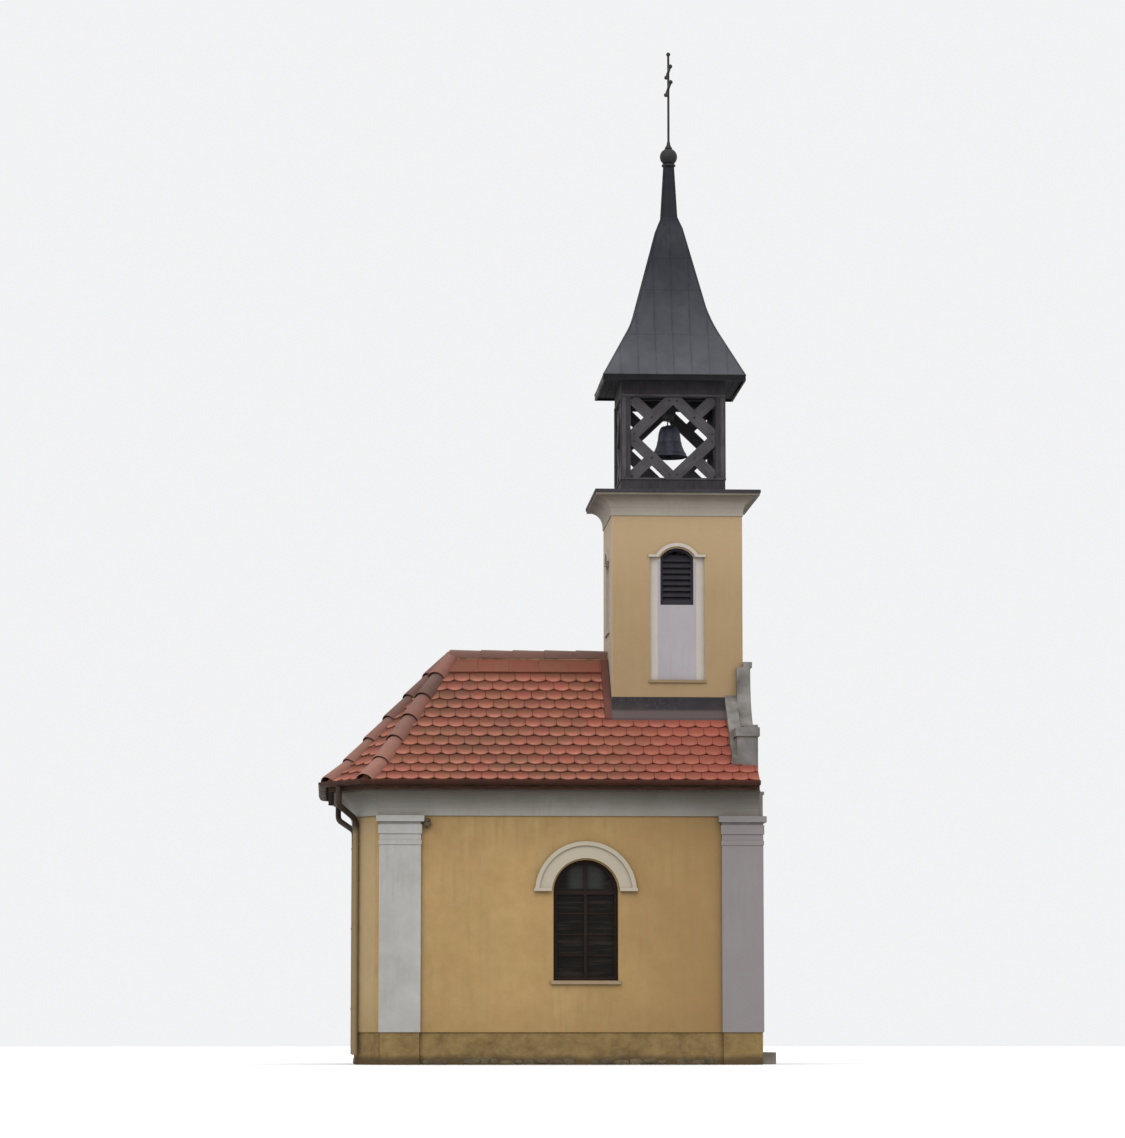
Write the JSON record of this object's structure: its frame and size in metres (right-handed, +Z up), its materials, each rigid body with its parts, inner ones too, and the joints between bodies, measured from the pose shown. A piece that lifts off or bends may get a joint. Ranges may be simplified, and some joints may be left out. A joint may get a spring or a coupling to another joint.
{
  "type": "small chapel with a bell tower",
  "caption": "Small plastered chapel with a three-sided apse, hipped tile roof, bell lantern with a swinging bell, flared spire and cross.",
  "frame": {"origin": "bottom centre of the whole model's box, on the ground", "axes": "+Z up along the tower, +X towards the front wall with the door, -Y towards the near side wall"},
  "size_m": [5.826, 4.672, 13.2655],
  "materials": {
    "ochre_plaster": "matte",
    "white_plaster": "matte",
    "plinth_plaster": "matte",
    "roof_tile": "matte",
    "ridge_tile": "matte",
    "dark_sheet": "satin",
    "brown_sheet": "satin",
    "grey_sheet": "satin",
    "lantern_wood": "matte",
    "frame_wood": "satin",
    "roof_timber": "matte",
    "bell_bronze": "satin",
    "wrought_iron": "satin",
    "window_glass": "gloss",
    "step_stone": "matte",
    "floor_stone": "matte"
  },
  "bodies": {
    "chapel": {"apse_cornice": "white_plaster", "apse_gutter": "brown_sheet", "apse_wall": "ochre_plaster", "bell_frame": "lantern_wood", "cross": "wrought_iron", "door_frame": "frame_wood", "door_hood": "white_plaster", "door_leaves": "frame_wood", "doorstep": "step_stone", "downpipes": "brown_sheet", "far_pilasters": "white_plaster", "far_wall": "ochre_plaster", "floor": "floor_stone", "front_band": "white_plaster", "front_gable": "white_plaster", "front_wall": "ochre_plaster", "hip_caps": "ridge_tile", "lantern_plate": "lantern_wood", "lantern_posts": "lantern_wood", "lantern_sill": "lantern_wood", "lattice_far": "lantern_wood", "lattice_front": "lantern_wood", "lattice_near": "lantern_wood", "lattice_rear": "lantern_wood", "near_pilasters": "white_plaster", "near_wall": "ochre_plaster", "plinth": "plinth_plaster", "ridge_cap": "ridge_tile", "roof_apse_end": "roof_tile", "roof_apse_far": "roof_tile", "roof_apse_near": "roof_tile", "roof_far": "roof_tile", "roof_near": "roof_tile", "side_cornices": "white_plaster", "side_gutters": "brown_sheet", "spire": "dark_sheet", "spire_ball": "wrought_iron", "spire_soffit": "lantern_wood", "tower_aprons": "grey_sheet", "tower_arch": "ochre_plaster", "tower_beams": "roof_timber", "tower_cornice": "white_plaster", "tower_deck": "dark_sheet", "tower_louvres": "lantern_wood", "tower_wall_far": "ochre_plaster", "tower_wall_front": "ochre_plaster", "tower_wall_near": "ochre_plaster", "tower_wall_rear": "ochre_plaster", "wall_plates": "roof_timber", "window_frames": "frame_wood", "window_glass": "window_glass", "window_hoods": "white_plaster", "window_sills": "white_plaster"},
    "bell": {"bell": "bell_bronze", "headstock": "lantern_wood", "clapper": "wrought_iron"}
  },
  "joints": [
    {"name": "bell_swing", "type": "hinge", "parent": "chapel", "child": "bell", "pos_m": [1.633, 0, 8.454], "axis": [0, 1, 0], "range_deg": [-45, 45]}
  ]
}
